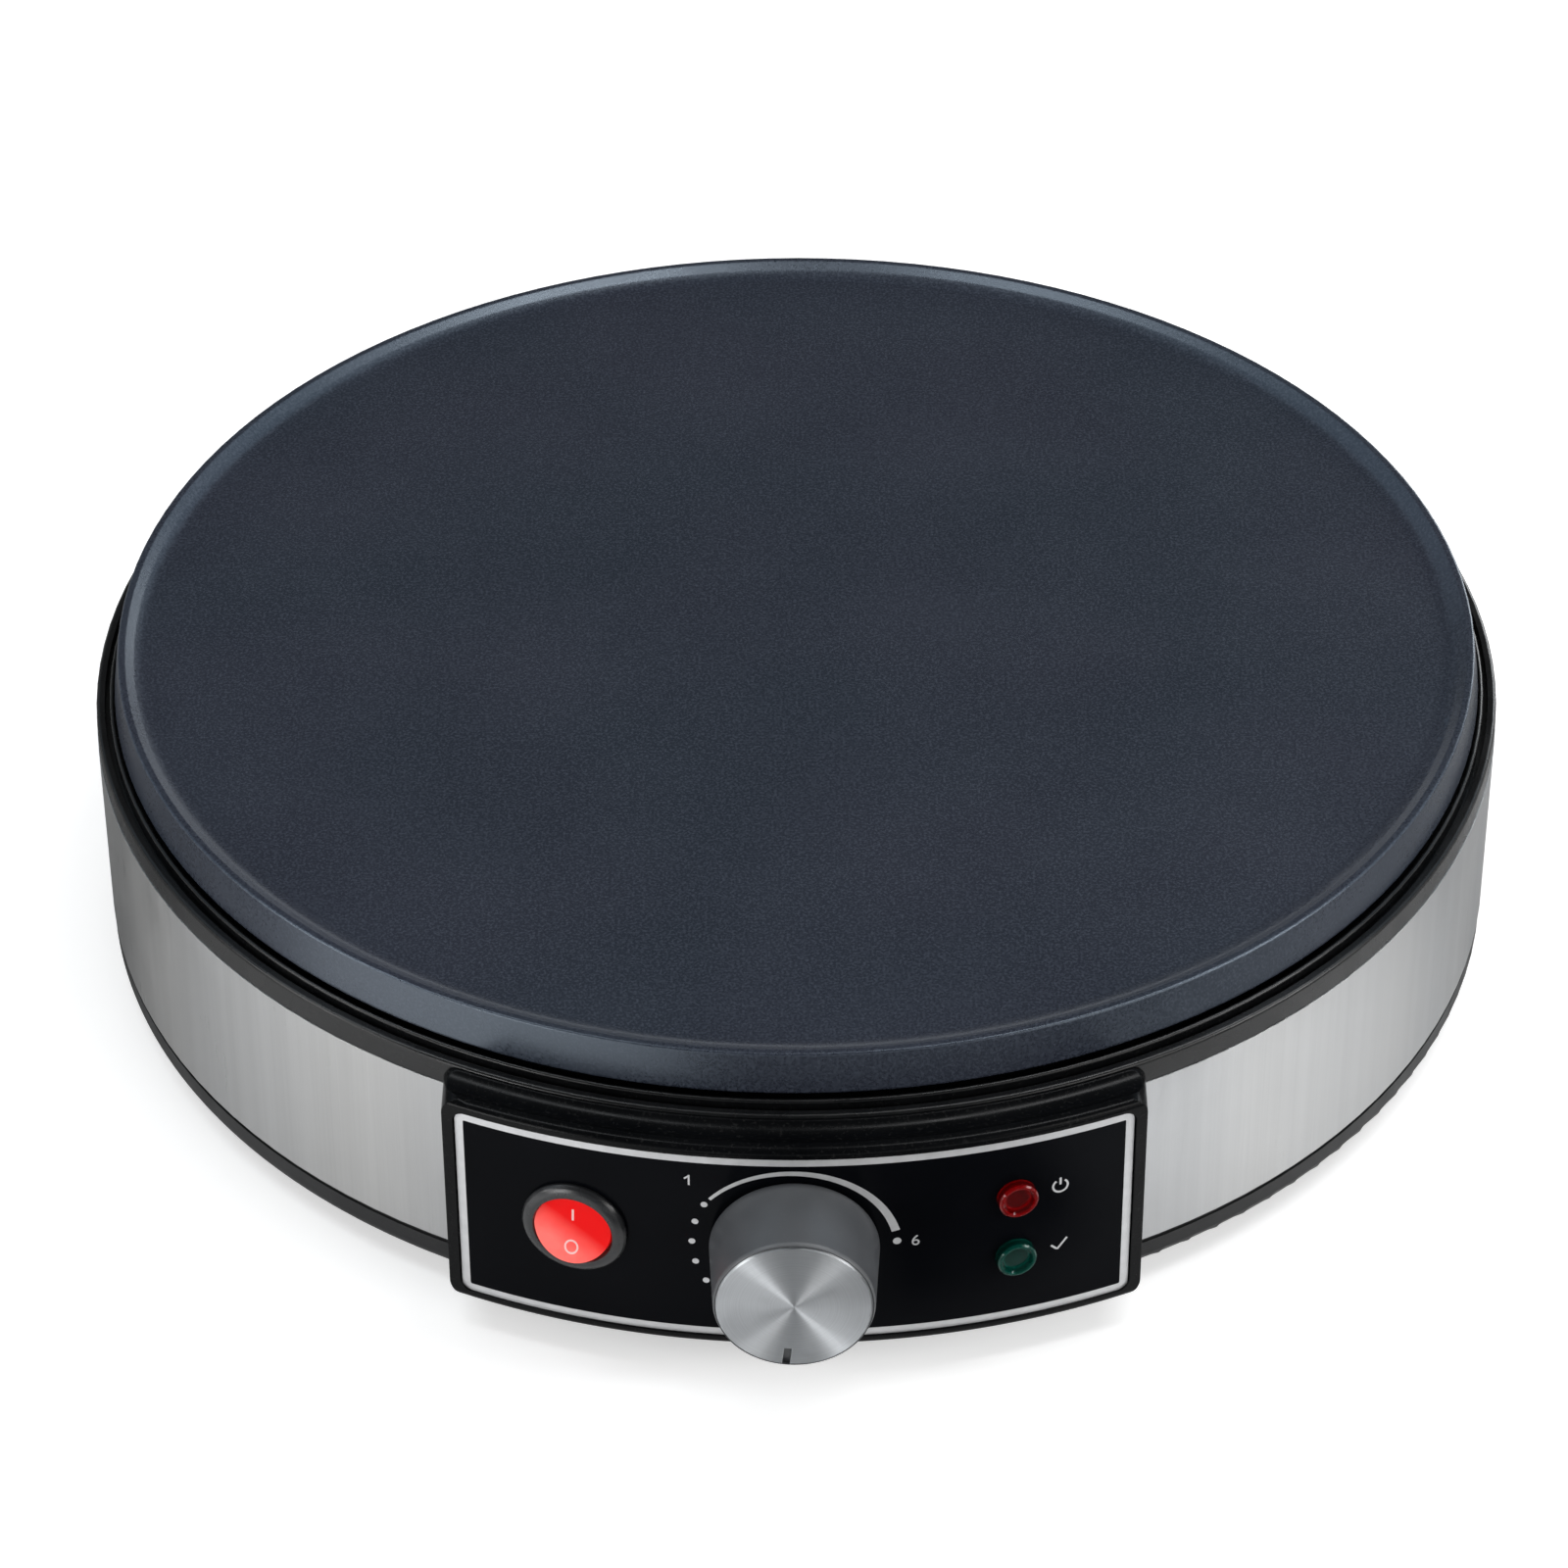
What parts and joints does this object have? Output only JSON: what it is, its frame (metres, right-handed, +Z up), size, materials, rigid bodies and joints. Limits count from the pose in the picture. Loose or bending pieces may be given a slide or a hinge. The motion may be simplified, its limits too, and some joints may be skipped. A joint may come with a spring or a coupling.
{
  "type": "electric crepe maker",
  "caption": "Round electric griddle for thin pancakes: a flat plate with a low rim on a steel drum, and a curved front panel with a rocker switch, a thermostat knob and lamps",
  "frame": {"origin": "On the drum's axis, on the worktop plane under the feet", "axes": "+Z up along the drum's axis, -Y out through the middle of the control panel, +X to the right seen from the front"},
  "size_m": [0.3304, 0.3621, 0.0773],
  "materials": {
    "plate_metal": "sand-blasted black non-stick coating",
    "element_steel": "dark heat-tinted tube",
    "steel": "brushed stainless steel",
    "plated": "zinc-plated steel",
    "screw_steel": "phosphated steel",
    "ring_plastic": "fine-textured black heat-resistant plastic",
    "base_plastic": "fine-textured dark grey plastic",
    "housing_plastic": "satin black plastic",
    "fascia_gloss": "gloss black",
    "switch_black": "satin black plastic",
    "rocker_red": "translucent red",
    "contact_brass": "rolled brass",
    "knob_grey": "grey lacquer",
    "cap_metal": "turned aluminium",
    "lens_red": "translucent red",
    "lens_green": "translucent green",
    "ceramic": "white ceramic",
    "neon_glass": "clear glass",
    "block_plastic": "white nylon",
    "rubber_black": "moulded rubber",
    "wire_sleeve": "silicone sleeve"
  },
  "bodies": {
    "drum": {"griddle_plate": "plate_metal", "heating_element": "element_steel", "element_pins": "plated", "element_clips": "plated", "plate_screws": "screw_steel", "heat_shield": "plated", "plate_studs": "plated", "stud_spacers": "plated", "stud_nuts": "plated", "trim_ring": "ring_plastic", "steel_band": "steel", "base_pan": "base_plastic", "rubber_feet": "rubber_black", "drum_screws": "screw_steel", "panel_housing": "housing_plastic", "panel_screws": "screw_steel", "panel_fascia": "fascia_gloss", "switch_body": "switch_black", "switch_terminals": "contact_brass", "thermostat_bush": "contact_brass", "thermostat_nut": "plated", "thermostat_bracket": "plated", "thermostat_stack": "ceramic", "thermostat_leaves": "contact_brass", "stack_rivet": "plated", "power_lens": "lens_red", "ready_lens": "lens_green", "lamp_sleeves": "block_plastic", "neon_lamps": "neon_glass", "thermal_fuse": "ceramic", "fuse_clip": "plated", "terminal_block": "block_plastic", "terminal_screws": "contact_brass", "cord_gland": "rubber_black", "cord_clamp": "switch_black", "clamp_screws": "screw_steel", "crimp_caps": "block_plastic", "wiring": "wire_sleeve"},
    "knob": {"knob_skirt": "knob_grey", "knob_cap": "cap_metal", "thermostat_spindle": "plated"},
    "rocker": {"switch_rocker": "rocker_red"},
    "contact": {"switch_contact": "contact_brass"}
  },
  "joints": [
    {"name": "knob_turn", "type": "hinge", "parent": "drum", "child": "knob", "pos_m": [0, -0.18, 0.03705], "axis": [0, 1, 0], "range_deg": [0, 270]},
    {"name": "switch_rock", "type": "hinge", "parent": "drum", "child": "rocker", "pos_m": [-0.04713, -0.1675, 0.03705], "axis": [0.9626, -0.2709, 0], "range_deg": [0, 24]},
    {"name": "contact_tip", "type": "hinge", "parent": "drum", "child": "contact", "pos_m": [-0.04423, -0.1572, 0.03705], "axis": [0.9626, -0.2709, 0], "range_deg": [-12, 0]}
  ],
  "couplings": [
    {"joint": "contact_tip", "follows": "switch_rock", "ratio": -0.5}
  ]
}
